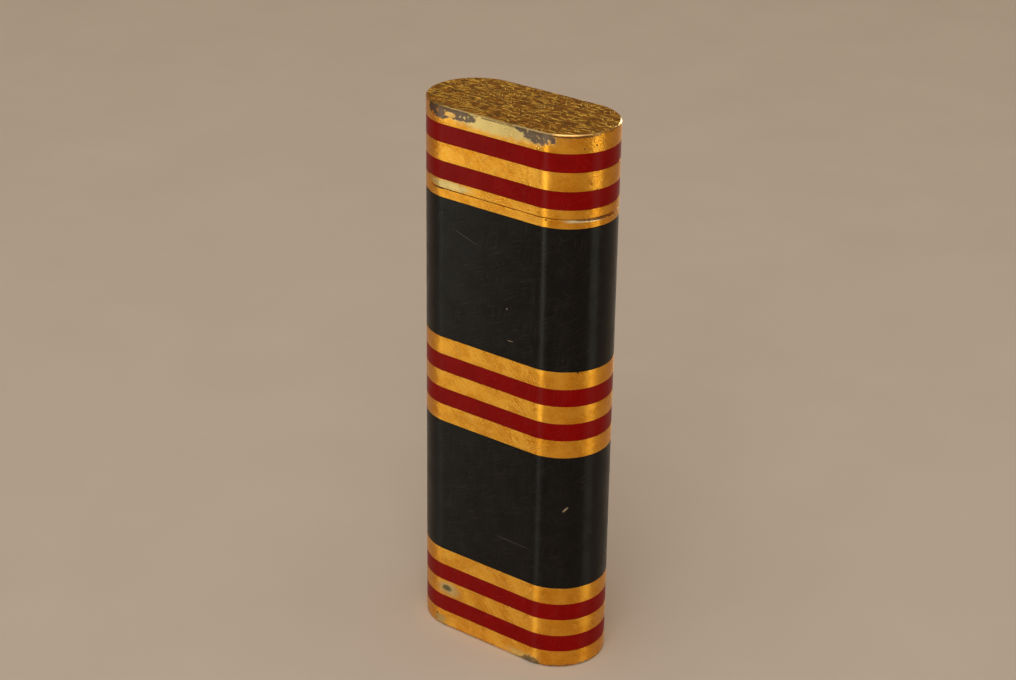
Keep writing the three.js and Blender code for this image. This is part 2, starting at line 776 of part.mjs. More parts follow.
// The bracket: a foot on the deck and two cheeks with round tops.
function makeBracket() {
  const low = deckTop + fit;
  const outer = cheekInner + cheekThickness;
  const end = strikerX + cheekHalfWidth;
  const foot = block(strikerX - footReach, end, -outer, outer, low, low + footThickness);
  const cheeks = crosswise(cheekHalfWidth, 2 * outer, strikerX, strikerZ)
    .add(block(strikerX - cheekHalfWidth, strikerX + cheekHalfWidth, -outer, outer, low, strikerZ))
    .subtract(block(-length, length, -cheekInner, cheekInner, 0, height));
  return foot
    .add(cheeks)
    .intersect(oval(deckInset + collarWall + fit, 0, height))
    .subtract(crosswise(axleRadius + running, depth, strikerX, strikerZ))
    .subtract(upright(flintTubeOuter + fit, 0, height, strikerX))
    .subtract(upright(smallScrewShank + fit, 0, height, deckScrewX, deckScrewSpread))
    .subtract(upright(smallScrewShank + fit, 0, height, deckScrewX, -deckScrewSpread));
}

hang(lighter, "striker_bracket", makeBracket(), nickelPlate);

const deckScrewHeadLow = deckTop + 2 * fit + footThickness;
const deckScrewTop = deckScrewHeadLow + smallScrewHeadHeight;
const deckScrew = upright(smallScrewHead, deckScrewHeadLow, deckScrewTop)
  .add(upright(smallScrewShank, deckLow - 0.4, deckScrewHeadLow + fit))
  .subtract(block(-2, 2, -slotWidth / 2, slotWidth / 2, deckScrewTop - 0.3, height));
hang(lighter, "deck_screw_front", deckScrew.translate([deckScrewX, -deckScrewSpread, 0]), steel);
hang(lighter, "deck_screw_back", deckScrew.translate([deckScrewX, deckScrewSpread, 0]), steel);

// ---------------------------------------------------------------- flint column

const flintTubeLow = baseThickness + 2 * fit;
const flintTubeHigh = deckTop + flintTubeTop;
const flintTop = strikerZ - wheelRadius - flintGap;
const flintLow = flintTop - flintLength;
const plungerLow = flintLow - fit - plungerHeight;
const screwTop = flintTubeLow + flintScrewShank;
const springTurns = Math.round((plungerLow - screwTop) / flintSpringPitch);
hang(flintColumn, "flint_tube", turned([
  [flintTubeOuter, flintTubeLow],
  [flintTubeOuter, flintTubeHigh],
  [flintTubeBore, flintTubeHigh],
  [flintTubeBore, flintTubeLow],
]), brass);
hang(flintColumn, "flint", upright(flintRadius, flintLow, flintTop), flintAlloy);
hang(flintColumn, "flint_plunger", upright(flintRadius - fit, plungerLow, plungerLow + plungerHeight), brass);
hang(flintColumn, "flint_spring", coil(
  flintSpringRadius, flintWire, screwTop + 2 * fit, plungerLow - 2 * fit, springTurns,
), steel);

const flintScrew = turned([
  [0, screwRecess],
  [flintScrewHead, screwRecess],
  [flintScrewHead, flintTubeLow - fit],
  [flintTubeBore - fit, flintTubeLow - fit],
  [flintTubeBore - fit, screwTop],
  [0, screwTop],
]);
hang(flintColumn, "flint_screw", slotFromBelow(flintScrew, flintScrewHead, screwRecess), goldPlate);

// ---------------------------------------------------------------- filler valve

const fillerTop = tankLow + fillerHeight;
const fillerChamberLow = tankLow + fillerFloor;
const fillerChamberHigh = fillerTop - fillerRoof;
hang(filler, "filler_valve_body", turned([
  [fillerPort, screwRecess],
  [fillerNeck, screwRecess],
  [fillerNeck, tankLow],
  [fillerRadius, tankLow],
  [fillerRadius, fillerTop],
  [fillerOutlet, fillerTop],
  [fillerOutlet, fillerChamberHigh],
  [fillerChamber, fillerChamberHigh],
  [fillerChamber, fillerChamberLow],
  [fillerPort, fillerChamberLow],
]), brass);

const fillerSealZ = fillerChamberLow + fit + fillerSealWire;
const shoulderLow = fillerSealZ + fillerSealWire + 2 * fit;
const shoulderHigh = shoulderLow + stemShoulderHeight;
hang(filler, "filler_seal", sealRing(fillerSealRadius, fillerSealWire, fillerSealZ), rubber);
hang(filler, "filler_stem", turned([
  [0, 2 * screwRecess],
  [stemRadius, 2 * screwRecess],
  [stemRadius, shoulderLow],
  [stemShoulder, shoulderLow],
  [stemShoulder, shoulderHigh],
  [stemGuide, shoulderHigh],
  [stemGuide, shoulderHigh + stemGuideLength],
  [0, shoulderHigh + stemGuideLength],
]), brass);
hang(filler, "filler_spring", coil(
  fillerSpringRadius, fillerWire, shoulderHigh + fit, fillerChamberHigh - fit, fillerTurns,
), steel);

export default lighter;
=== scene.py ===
import math

import bmesh
import bpy
from mathutils import Matrix, Vector


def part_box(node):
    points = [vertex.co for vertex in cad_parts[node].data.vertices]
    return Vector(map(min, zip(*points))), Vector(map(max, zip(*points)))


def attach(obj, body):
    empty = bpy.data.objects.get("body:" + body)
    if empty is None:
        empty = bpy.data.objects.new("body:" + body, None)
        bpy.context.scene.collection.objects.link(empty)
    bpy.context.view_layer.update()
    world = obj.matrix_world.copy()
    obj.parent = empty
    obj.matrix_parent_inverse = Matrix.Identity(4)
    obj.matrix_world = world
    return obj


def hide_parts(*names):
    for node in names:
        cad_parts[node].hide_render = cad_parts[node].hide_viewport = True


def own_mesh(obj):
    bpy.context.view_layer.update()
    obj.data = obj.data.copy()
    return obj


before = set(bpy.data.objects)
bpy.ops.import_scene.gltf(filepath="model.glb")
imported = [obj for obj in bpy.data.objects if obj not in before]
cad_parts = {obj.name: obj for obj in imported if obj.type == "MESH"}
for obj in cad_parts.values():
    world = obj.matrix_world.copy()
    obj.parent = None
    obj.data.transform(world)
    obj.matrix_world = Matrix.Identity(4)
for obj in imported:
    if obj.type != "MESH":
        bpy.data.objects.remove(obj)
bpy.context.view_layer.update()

MM = 0.001

# ---- Camera ----------------------------------------------------------------------------------
# It looks down on a front corner of the lighter, with the end that lifts on the right. The aim is
# measured from the middle of the base, across the view and up it.
view_azimuth = math.radians(37.40)
view_elevation = math.radians(24.88)
view_roll = math.radians(0.80)
view_distance = 0.28766
view_aim = (-0.000815, 0.036406)

backward = Vector((
    math.sin(view_azimuth) * math.cos(view_elevation),
    -math.cos(view_azimuth) * math.cos(view_elevation),
    math.sin(view_elevation),
))
level = Vector((math.cos(view_azimuth), math.sin(view_azimuth), 0))
upward = backward.cross(level)
across = level * math.cos(view_roll) + upward * math.sin(view_roll)
up = backward.cross(across)
camera = bpy.data.objects.new("camera", bpy.data.cameras.new("camera"))
camera.data.lens = 79.28
camera.data.sensor_width = 36
camera.data.clip_start = 0.01
camera.location = across * view_aim[0] + up * view_aim[1] + backward * view_distance
camera.rotation_euler = Matrix((across, up, backward)).transposed().to_euler()
bpy.context.scene.collection.objects.link(camera)
bpy.context.scene.camera = camera
bpy.context.scene.view_settings.view_transform = "Standard"

# ---- Table and light ---------------------------------------------------------------------------
# A pale matt table. Wide soft boxes light it from above and in front, and low strips of soft light
# stand round it, which only the glossy faces pick up.
lamp_aim = Vector((0, 0, 35 * MM))
lamp_white = (1.0, 0.96, 0.9)


def soft_box(name, azimuth, elevation, distance, size, power, tint=lamp_white, gloss_only=False):
    """A rectangle of light that faces the case. The camera doesn't see it."""
    light = bpy.data.lights.new(name, "AREA")
    light.shape = "RECTANGLE"
    light.size, light.size_y = size
    light.energy = power
    light.color = tint
    lamp = bpy.data.objects.new(name, light)
    lamp.visible_camera = False
    lamp.visible_diffuse = not gloss_only
    azimuth, elevation = math.radians(azimuth), math.radians(elevation)
    toward = Vector((
        math.sin(azimuth) * math.cos(elevation),
        -math.cos(azimuth) * math.cos(elevation),
        math.sin(elevation),
    ))
    lamp.location = toward * distance + lamp_aim
    lamp.rotation_euler = toward.to_track_quat("Z", "Y").to_euler()
    bpy.context.scene.collection.objects.link(lamp)


strip_tint = (0.95, 1.0, 0.88)
for name, azimuth, elevation, distance, size, power in (
    ("left_strip", -12, 7, 0.8, (0.08, 0.24), 1.3), ("right_strip", 101, 7, 0.8, (0.26, 0.24), 1.35),
    ("side_strip", -44, 9, 1.0, (0.30, 0.30), 2.2), ("back_strip", 190, 12, 1.2, (0.30, 0.40), 3.0),
):
    soft_box(name, azimuth, elevation, distance, size, power, strip_tint, gloss_only=True)
soft_box("front_box", azimuth=30, elevation=40, distance=1.3, size=(0.8, 0.6), power=3.5)
soft_box("top_box", azimuth=20, elevation=78, distance=1.1, size=(1.0, 1.0), power=4.9)

world = bpy.data.worlds.new("studio")
bpy.context.scene.world = world
world.use_nodes = True
room = world.node_tree.nodes["Background"]
room.inputs["Color"].default_value = (0.60, 0.37, 0.18, 1)
room.inputs["Strength"].default_value = 0.43


class Finish:
    """A material grown from nodes: a shader, with calls that add noise, scratches and wear to it.

    Lengths inside a material are millimetres.
    """

    def __init__(self, name, metallic, roughness):
        self.material = bpy.data.materials.new(name)
        self.material.use_nodes = True
        self.tree = self.material.node_tree
        self.shader = self.tree.nodes["Principled BSDF"]
        self.shader.inputs["Metallic"].default_value = metallic
        self.shader.inputs["Roughness"].default_value = roughness
        place = self.node("ShaderNodeTexCoord").outputs["Object"]
        self.place = self.vector("SCALE", place, scale=1 / MM)
        self.x, self.y, self.z = self.split(self.place)

    def node(self, kind, **settings):
        made = self.tree.nodes.new(kind)
        for name, value in settings.items():
            setattr(made, name, value)
        return made

    def feed(self, socket, value):
        if isinstance(value, bpy.types.NodeSocket):
            self.tree.links.new(value, socket)
        else:
            socket.default_value = value

    def math(self, operation, *values, clamp=False):
        made = self.node("ShaderNodeMath", operation=operation, use_clamp=clamp)
        for socket, value in zip(made.inputs, values):
            self.feed(socket, value)
        return made.outputs[0]

    def vector(self, operation, a, b=None, scale=None):
        made = self.node("ShaderNodeVectorMath", operation=operation)
        self.feed(made.inputs[0], a)
        if b is not None:
            self.feed(made.inputs[1], b)
        if scale is not None:
            made.inputs["Scale"].default_value = scale
        return made.outputs[0]

    def split(self, vector):
        made = self.node("ShaderNodeSeparateXYZ")
        self.feed(made.inputs[0], vector)
        return made.outputs

    def join(self, x, y, z):
        made = self.node("ShaderNodeCombineXYZ")
        for socket, value in zip(made.inputs, (x, y, z)):
            self.feed(socket, value)
        return made.outputs[0]

    def turned(self, vector, angle, stretch):
        made = self.node("ShaderNodeMapping", vector_type="TEXTURE")
        self.feed(made.inputs["Vector"], vector)
        made.inputs["Rotation"].default_value = (0, 0, math.radians(angle))
        made.inputs["Scale"].default_value = stretch
        return made.outputs[0]

    def noise(self, vector, scale, detail=2.0, roughness=0.5):
        made = self.node("ShaderNodeTexNoise")
        self.feed(made.inputs["Vector"], vector)
        made.inputs["Scale"].default_value = scale
        made.inputs["Detail"].default_value = detail
        made.inputs["Roughness"].default_value = roughness
        return made.outputs["Fac"]

    def step(self, value, start, end, low=0.0, high=1.0):
        made = self.node("ShaderNodeMapRange", interpolation_type="SMOOTHSTEP")
        for name, given in (("Value", value), ("From Min", start), ("From Max", end),
                            ("To Min", low), ("To Max", high)):
            self.feed(made.inputs[name], given)
        return made.outputs["Result"]

    def mix(self, share, a, b):
        made = self.node("ShaderNodeMix", data_type="RGBA")
        for name, given in (("Factor_Float", share), ("A_Color", a), ("B_Color", b)):
            socket = next(s for s in made.inputs if s.identifier == name)
            if isinstance(given, tuple):
                given = (*given, 1.0)
            self.feed(socket, given)
        return made.outputs[2]

    def dents(self, height, strength, distance):
        made = self.node("ShaderNodeBump")
        made.inputs["Strength"].default_value = strength
        made.inputs["Distance"].default_value = distance * MM
        self.feed(made.inputs["Height"], height)
        if self.shader.inputs["Normal"].is_linked:
            self.feed(made.inputs["Normal"], self.shader.inputs["Normal"].links[0].from_socket)
        self.feed(self.shader.inputs["Normal"], made.outputs["Normal"])

    def most(self, *values):
        found = values[0]
        for value in values[1:]:
            found = self.math("MAXIMUM", found, value)
        return found

    def lines(self, flat, angle, width, length, cut):
        """Thin scratches: noise drawn out along one direction and cut off near its top."""
        drawn = self.turned(flat, angle, (length, width, 1))
        return self.step(self.noise(drawn, 1.0, 0.5), cut, cut + 0.05)

    def around(self):
        """A place on the skin as millimetres round the oval from the middle of the front, and up."""
        reach = end_centre / MM
        side = self.math("SIGN", self.x)
        length = self.math("ABSOLUTE", self.x)
        past = self.math("MAXIMUM", self.math("SUBTRACT", length, reach), 0.0)
        turn = self.math("ARCTAN2", past, self.math("MULTIPLY", self.y, -1.0))
        flat = self.math("MINIMUM", length, reach)
        behind = self.math("GREATER_THAN", self.y, 0.0)
        back = self.math("SUBTRACT", 2 * reach, self.math("MULTIPLY", flat, 2.0))
        along = self.math("ADD", flat, self.math("MULTIPLY", behind, back))
        along = self.math("ADD", along, self.math("MULTIPLY", turn, end_radius / MM))
        return self.join(self.math("MULTIPLY", along, side), self.z, 0.0)

    def blot(self, flat, at, size, ragged=0.6, grain=1.5, soft=0.25):
        """An uneven patch at one place, as wide and as tall as given."""
        shifted = self.vector("SUBTRACT", flat, (*at, 0))
        scaled = self.vector("DIVIDE", shifted, (*size, 1))
        made = self.node("ShaderNodeVectorMath", operation="LENGTH")
        self.feed(made.inputs[0], scaled)
        uneven = self.math("MULTIPLY_ADD", self.noise(self.place, grain, 4), 2 * ragged, -ragged)
        return self.step(self.math("ADD", made.outputs["Value"], uneven), 1 + soft, 1 - soft)

    def streak(self, flat, start, end, width):
        """One scratch between two places."""
        run = Vector(end) - Vector(start)
        middle = (Vector(end) + Vector(start)) / 2
        shifted = self.vector("SUBTRACT", flat, (*middle, 0))
        angle = math.degrees(math.atan2(run.y, run.x))
        scaled = self.turned(shifted, angle, (run.length / 2, width / 2, 1))
        made = self.node("ShaderNodeVectorMath", operation="LENGTH")
        self.feed(made.inputs[0], scaled)
        return self.step(made.outputs["Value"], 1.2, 0.6)


table_reach = 3
table_gap = 0.02 * MM
table = bmesh.new()
bmesh.ops.create_grid(table, x_segments=1, y_segments=1, size=table_reach)
table_mesh = bpy.data.meshes.new("table")
table.to_mesh(table_mesh)
table.free()
table_top = bpy.data.objects.new("table", table_mesh)
table_top.location.z = -table_gap
bpy.context.scene.collection.objects.link(table_top)
paper = Finish("pale_table", 0.0, 0.75)
paper.shader.inputs["Specular IOR Level"].default_value = 0.0
paper_tone = paper.mix(paper.noise(paper.place, 0.05, 4), (0.62, 0.58, 0.53), (0.68, 0.64, 0.59))
paper.feed(paper.shader.inputs["Base Color"], paper_tone)
table_mesh.materials.append(paper.material)

# ---- Casing ------------------------------------------------------------------------------------
# The body of the lighter: brass drawn to an oval tube and gold plated, with shallow grooves turned
# round it for the lacquer, a small chamfer at the base and a thumb bevel on the rim.
case_low, case_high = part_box("body_casing")
lid_low, lid_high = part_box("lid_shell")
end_radius = (case_high.y - case_low.y) / 2
end_centre = case_high.x - end_radius
case_wall = 0.7 * MM
seam_gap = 0.1 * MM
rim_height = lid_low.z - seam_gap
end_facets = 72


def sharp(mesh, angle=38):
    """Smooth shading, with the true corners kept crisp."""
    mesh.shade_smooth()
    mesh.set_sharp_from_angle(angle=math.radians(angle))


def object_from(name, mesh):
    made = bpy.data.objects.new(name, mesh)
    bpy.context.scene.collection.objects.link(made)
    return made


def baked(source, name):
    """The finished shape of an object with live modifiers, as a plain mesh in a new object."""
    graph = bpy.context.evaluated_depsgraph_get()
    mesh = bpy.data.meshes.new_from_object(source.evaluated_get(graph), depsgraph=graph)
    mesh.name = name
    scratch = source.data
    bpy.data.objects.remove(source)
    bpy.data.meshes.remove(scratch)
    return object_from(name, mesh)


def rounded(section, radius, closed=True):
    """The corners of a section made round, each with a close point on either side."""
    support = 0.04 * MM
    steps = 3
    points = []
    count = len(section)
    for index, corner in enumerate(section):
        here = Vector(corner)
        if not closed and index in (0, count - 1):
            points.append(here)
            continue
        before = Vector(section[index - 1]) - here
        after = Vector(section[(index + 1) % count]) - here
        cut = min(radius, before.length * 0.3, after.length * 0.3)
        start = here + before.normalized() * cut
        end = here + after.normalized() * cut
        points.append(start + before.normalized() * min(support, before.length * 0.1))
        for step in range(steps + 1):
            share = step / steps
            first = start.lerp(here, share)
            second = here.lerp(end, share)
            points.append(first.lerp(second, share))
        points.append(end + after.normalized() * min(support, after.length * 0.1))
    return points


class NodeTree:
    """A Geometry Nodes tree, with a named input for each size."""

    def __init__(self, name, **sizes):
        self.tree = bpy.data.node_groups.new(name, "GeometryNodeTree")
        sockets = self.tree.interface
        sockets.new_socket("Geometry", in_out="INPUT", socket_type="NodeSocketGeometry")
        sockets.new_socket("Geometry", in_out="OUTPUT", socket_type="NodeSocketGeometry")
        self.identifiers = {}
        for label, start in sizes.items():
            kind = "NodeSocketInt" if isinstance(start, int) else "NodeSocketFloat"
            socket = sockets.new_socket(label, in_out="INPUT", socket_type=kind)
            socket.default_value = start
            self.identifiers[label] = socket.identifier
        socket = sockets.new_socket("Finish", in_out="INPUT", socket_type="NodeSocketMaterial")
        self.identifiers["Finish"] = socket.identifier
        self.start = self.tree.nodes.new("NodeGroupInput")
        self.end = self.tree.nodes.new("NodeGroupOutput")

    def node(self, kind, inputs=(), **settings):
        made = self.tree.nodes.new(kind)
        for name, value in settings.items():
            setattr(made, name, value)
        for key, value in dict(inputs).items():
            socket = made.inputs[key]
            if isinstance(value, bpy.types.NodeSocket):
                self.tree.links.new(value, socket)
            else:
                socket.default_value = value
        return made.outputs

    def size(self, label):
        return self.start.outputs[label]

    def math(self, operation, *values):
        return self.node("ShaderNodeMath", dict(enumerate(values)), operation=operation)[0]

    def finish(self, geometry):
        real = self.node("GeometryNodeRealizeInstances", {"Geometry": geometry})[0]
        painted = self.node("GeometryNodeSetMaterial", {"Geometry": real, "Material": self.size("Finish")})[0]
        self.tree.links.new(painted, self.end.inputs[0])

    def grow(self, name, mesh, finish, **sizes):
        """Runs the tree on a mesh and returns the result as a plain object."""
        source = object_from("source", mesh)
        modifier = source.modifiers.new("grow", "NODES")
        modifier.node_group = self.tree
        modifier[self.identifiers["Finish"]] = finish
        for label, value in sizes.items():
            modifier[self.identifiers[label]] = value
        return baked(source, name)


# The oval sweep: a closed section is carried round a circle, whose two halves are pulled apart.
sweep = NodeTree("oval_sweep", Radius=end_radius, Pull=end_centre, Facets=2 * end_facets)
ring_path = sweep.node("GeometryNodeCurvePrimitiveCircle", {
    "Resolution": sweep.size("Facets"), "Radius": sweep.size("Radius"),
})[0]
half_step = sweep.math("DIVIDE", math.pi, sweep.size("Facets"))
ring_turn = sweep.node("ShaderNodeCombineXYZ", {"Z": half_step})[0]
ring_path = sweep.node("GeometryNodeTransform", {"Geometry": ring_path, "Rotation": ring_turn})[0]
ring_x = sweep.node("ShaderNodeSeparateXYZ", {0: sweep.node("GeometryNodeInputPosition")[0]})[0]
ring_side = sweep.math("SIGN", ring_x)
ring_path = sweep.node("GeometryNodeStoreNamedAttribute", {
    "Geometry": ring_path, "Name": "side", "Value": ring_side,
})[0]
ring_section = sweep.node("GeometryNodeMeshToCurve", {"Mesh": sweep.start.outputs["Geometry"]})[0]
ring_mesh = sweep.node("GeometryNodeCurveToMesh", {"Curve": ring_path, "Profile Curve": ring_section})[0]
stored_side = sweep.node("GeometryNodeInputNamedAttribute", {"Name": "side"})[0]
ring_pull = sweep.math("MULTIPLY", stored_side, sweep.size("Pull"))
ring_offset = sweep.node("ShaderNodeCombineXYZ", {"X": ring_pull})[0]
ring_mesh = sweep.node("GeometryNodeSetPosition", {"Geometry": ring_mesh, "Offset": ring_offset})[0]
ring_mesh = sweep.node("GeometryNodeMergeByDistance", {"Geometry": ring_mesh, "Distance": 1e-7})[0]
sweep.finish(ring_mesh)


def oval_piece(name, section, finish, closed=True):
    """An oval ring from a section of (inset, height) points. An open one begins and ends on the axis."""
    mesh = bpy.data.meshes.new("section")
    count = len(section)
    edges = [(index, (index + 1) % count) for index in range(count if closed else count - 1)]
    mesh.from_pydata([(-inset, -height, 0) for inset, height in section], edges, [])  # the sweep stands it up
    piece = sweep.grow(name, mesh, finish, Radius=end_radius, Pull=end_centre, Facets=2 * end_facets)
    shape = bmesh.new()
    shape.from_mesh(piece.data)
    bmesh.ops.recalc_face_normals(shape, faces=shape.faces)
    shape.to_mesh(piece.data)
    shape.free()
    sharp(piece.data)
    return piece


def carve(piece, operation, cutter):
    """Cuts a piece with another, joins them or keeps what they share."""
    modifier = piece.modifiers.new("carve", "BOOLEAN")
    modifier.operation = operation
    modifier.object = cutter
    modifier.solver = "EXACT"
    made = baked(piece, piece.name)
    scrap = cutter.data
    bpy.data.objects.remove(cutter)
    bpy.data.meshes.remove(scrap)
    return made


def block(x, y, z):
    """A plain block, for cutting with, between two limits on each axis."""
    shape = bmesh.new()
    corners = bmesh.ops.create_cube(shape, size=1)["verts"]
    for corner in corners:
        place = corner.co + Vector((0.5, 0.5, 0.5))
        corner.co = [low + (high - low) * share for (low, high), share in zip((x, y, z), place)]
    mesh = bpy.data.meshes.new("block")
    shape.to_mesh(mesh)
    shape.free()
    return object_from("block", mesh)


def prism(outline, y_low, y_high):
    """A side view of (x, z) points, carried across the case."""
    shape = bmesh.new()
    near = [shape.verts.new((x, y_low, z)) for x, z in outline]
    far = [shape.verts.new((x, y_high, z)) for x, z in outline]
    shape.faces.new(near)
    shape.faces.new(reversed(far))
    for index in range(len(outline)):
        after = (index + 1) % len(outline)
        shape.faces.new((near[after], near[index], far[index], far[after]))
    bmesh.ops.recalc_face_normals(shape, faces=shape.faces)
    mesh = bpy.data.meshes.new("prism")
    shape.to_mesh(mesh)
    shape.free()
    return object_from("prism", mesh)


# The gold plate shows its age: wiped thin to a darker brown in places, brighter where hands polish it,
# with fine wipe marks, pin holes, and loss down to grey metal at a few known places.
def gold_plate(name):
    gold = Finish(name, 1.0, 0.3)
    flat = gold.around()
    mottle = gold.noise(gold.place, 0.45, 5, 0.62)
    fine = gold.noise(gold.place, 4.5, 3, 0.6)
    bare = gold.mix(gold.step(mottle, 0.30, 0.70), (0.76, 0.285, 0.011), (0.87, 0.400, 0.034))
    tone = gold.mix(gold.step(fine, 0.40, 0.72, 0.0, 0.3), bare, (0.96, 0.50, 0.09))
    wiped = gold.most(
        gold.lines(flat, -40, 0.10, 3.4, 0.58), gold.lines(flat, 36, 0.10, 2.6, 0.63),
        gold.lines(flat, -66, 0.10, 2.2, 0.64), gold.lines(flat, 4, 0.09, 4.0, 0.64),
    )
    flatness = gold.step(gold.math("ABSOLUTE", gold.x), 6.5, 9.0, 0.45, 0.2)
    colour = gold.mix(gold.math("MULTIPLY", wiped, flatness), tone, (1.0, 0.64, 0.13))
    return gold, flat, colour, wiped, mottle, fine


def finish_gold(gold, colour, marks, mottle, fine, loss_and_seam_shade):
    gold.feed(gold.shader.inputs["Base Color"], colour)
    rough = gold.step(mottle, 0.35, 0.65, 0.30, 0.36)
    rough = gold.math("MULTIPLY_ADD", marks, -0.05, rough)
    rough = gold.math("MULTIPLY_ADD", loss_and_seam_shade, 0.25, rough, clamp=True)
    gold.feed(gold.shader.inputs["Roughness"], rough)
    gold.shader.inputs["Anisotropic"].default_value = 0.9
    gold.shader.inputs["Anisotropic Rotation"].default_value = 0.25
    tangent = gold.node("ShaderNodeTangent", direction_type="RADIAL", axis="Z")
    gold.feed(gold.shader.inputs["Tangent"], tangent.outputs[0])
    gold.dents(marks, 0.25, 0.02)
    gold.dents(fine, 0.12, 0.02)
    gold.dents(loss_and_seam_shade, 0.5, -0.03)
    return gold.material


gold, flat, colour, marks, mottle, fine = gold_plate("gold_plate_casing")
pit = gold.blot(flat, (-6.2, 5.72), (0.75, 0.42), 0.6, 3.0, 0.4)
halo = gold.blot(flat, (-6.0, 5.65), (1.6, 0.85), 0.4, 1.4, 0.6)
foot_wear = gold.blot(flat, (7.1, 0.30), (1.3, 0.65), 0.6, 2.2, 0.3)
foot_halo = gold.blot(flat, (5.6, 0.55), (2.2, 0.6), 0.4, 1.4, 0.6)
foot_patches = gold.step(gold.noise(gold.place, 1.6, 3), 0.50, 0.60)
foot_edge = gold.math("MULTIPLY", gold.step(gold.z, 0.55, 0.25), foot_patches)
# Pale on the thumb bevel at the rim: wear from the thumb, and a painted highlight where the bevel faces the
# light.
rim_wear_and_highlight = gold.step(gold.z, rim_height / MM - 0.36, rim_height / MM - 0.28)
rim_wear_and_highlight = gold.math("MULTIPLY", rim_wear_and_highlight, gold.step(gold.x, 9.6, 10.8))
# Small nicks in the plate; the long thin one along the rim beside the hinge window is painted shade in the
# seam.
nicks_and_seam_shade = gold.most(
    gold.blot(flat, (-8.0, 1.4), (0.16, 0.14)), gold.blot(flat, (8.0, 59.6), (0.16, 0.12)),
    gold.blot(flat, (12.2, 40.6), (0.15, 0.12)), gold.blot(flat, (-7.6, 59.76), (0.9, 0.07)),
)
green = gold.blot(flat, (-7.4, 0.8), (1.0, 0.6), 0.6, 2.0, 0.4)
colour = gold.mix(gold.math("MULTIPLY", halo, 0.6), colour, (0.52, 0.50, 0.30))
colour = gold.mix(gold.math("MULTIPLY", green, 0.6), colour, (0.35, 0.38, 0.20))
colour = gold.mix(rim_wear_and_highlight, colour, (1.0, 0.86, 0.52))
colour = gold.mix(gold.math("MULTIPLY", foot_halo, 0.6), colour, (0.74, 0.60, 0.24))
colour = gold.mix(gold.math("MULTIPLY", foot_wear, 0.85), colour, (0.15, 0.11, 0.07))
colour = gold.mix(gold.math("MULTIPLY", foot_edge, 0.7), colour, (0.34, 0.24, 0.10))
# Dark where the plate is worn through at the pit and the nicks, and along the seam by the hinge, where it is
# painted shade.
loss_and_seam_shade = gold.most(pit, nicks_and_seam_shade)
colour = gold.mix(gold.math("MULTIPLY", loss_and_seam_shade, 0.9), colour, (0.09, 0.08, 0.045))
casing_gold = finish_gold(gold, colour, marks, mottle, fine, loss_and_seam_shade)

base_chamfer = 0.25 * MM
shell_corner = 0.035 * MM
groove_depth = 0.22 * MM
lacquer_gap = 0.02 * MM
band_names = (
    "red_band_base_lower", "red_band_base_upper", "black_field_lower", "red_band_middle_lower",
    "red_band_middle_upper", "black_field_upper", "red_band_lid_lower", "red_band_lid_upper",
)


def grooves(low, high):
    """The outer line of a shell, with a groove for each lacquer band between two heights."""
    line = []
    for name in band_names:
        band_low, band_high = (corner.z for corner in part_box(name))
        if low < band_low < high:
            bottom, top = band_low - lacquer_gap, band_high + lacquer_gap
            line += [(0, bottom), (groove_depth, bottom), (groove_depth, top), (0, top)]
    return line


section = [(base_chamfer, 0), (0, base_chamfer), *grooves(0, rim_height)]
section += [(0, rim_height), (case_wall, rim_height), (case_wall, 0)]
casing = oval_piece("casing_skin", rounded(section, shell_corner), casing_gold)

beyond = 20 * MM
window_end = -7.1 * MM
window_half = 5.3 * MM
window_step = 1.08 * MM
window_x, window_y = (-beyond, window_end), (-window_half, window_half)
window = block(window_x, window_y, (case_high.z - window_step, case_high.z + beyond))
casing = carve(casing, "DIFFERENCE", window)
bevel_start = case_high.x - 1.75 * MM
bevel_slope = 0.31 / 1.75
bevel_reach = 3 * MM
wedge = [
    (bevel_start, rim_height), (bevel_start + bevel_reach, rim_height - bevel_slope * bevel_reach),
    (bevel_start + bevel_reach, rim_height + bevel_reach), (bevel_start, rim_height + bevel_reach),
]
casing = carve(casing, "DIFFERENCE", prism(wedge, -beyond, beyond))
sharp(casing.data, 30)
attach(casing, "case")
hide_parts("body_casing")

# ---- Lacquer ---------------------------------------------------------------------------------
# Fields of hard lacquer fill the grooves flush with the gold and are polished down with it: two
# black fields on the casing, and narrow red bands in pairs at its foot, its middle and on the lid.
lacquer_depth = 0.2 * MM
lacquer_corner = 0.03 * MM


def lacquer(name, deep, worn, roughness, shine):
    coat = Finish(name, 0.0, roughness)
    flat = coat.around()
    cloud = coat.noise(coat.place, 0.4, 5)
    colour = coat.mix(coat.step(cloud, 0.35, 0.68), deep, worn)
    rubbed = coat.most(
        coat.lines(flat, 24, 0.08, 3.5, 0.66), coat.lines(flat, -47, 0.07, 2.6, 0.68),
        coat.lines(flat, 80, 0.07, 4.0, 0.67),
    )
    specks = coat.step(coat.noise(coat.place, 2.6, 2), 0.76, 0.79)
    colour = coat.mix(coat.math("MULTIPLY", rubbed, 0.05), colour, (0.35, 0.28, 0.22))
    coat.feed(coat.shader.inputs["Roughness"], coat.math(
        "MULTIPLY_ADD", rubbed, 0.12, coat.step(cloud, 0.3, 0.7, roughness - 0.03, roughness + 0.05)))
    coat.shader.inputs["Specular IOR Level"].default_value = shine
    coat.shader.inputs["Anisotropic"].default_value = 0.95
    coat.shader.inputs["Anisotropic Rotation"].default_value = 0.25
    tangent = coat.node("ShaderNodeTangent", direction_type="RADIAL", axis="Z")
    coat.feed(coat.shader.inputs["Tangent"], tangent.outputs[0])
    coat.dents(coat.noise(coat.place, 0.8, 3), 0.2, 0.01)
    coat.dents(rubbed, 0.15, -0.01)
    return coat, flat, coat.mix(coat.math("MULTIPLY", specks, 0.5), colour, (0.25, 0.2, 0.15))


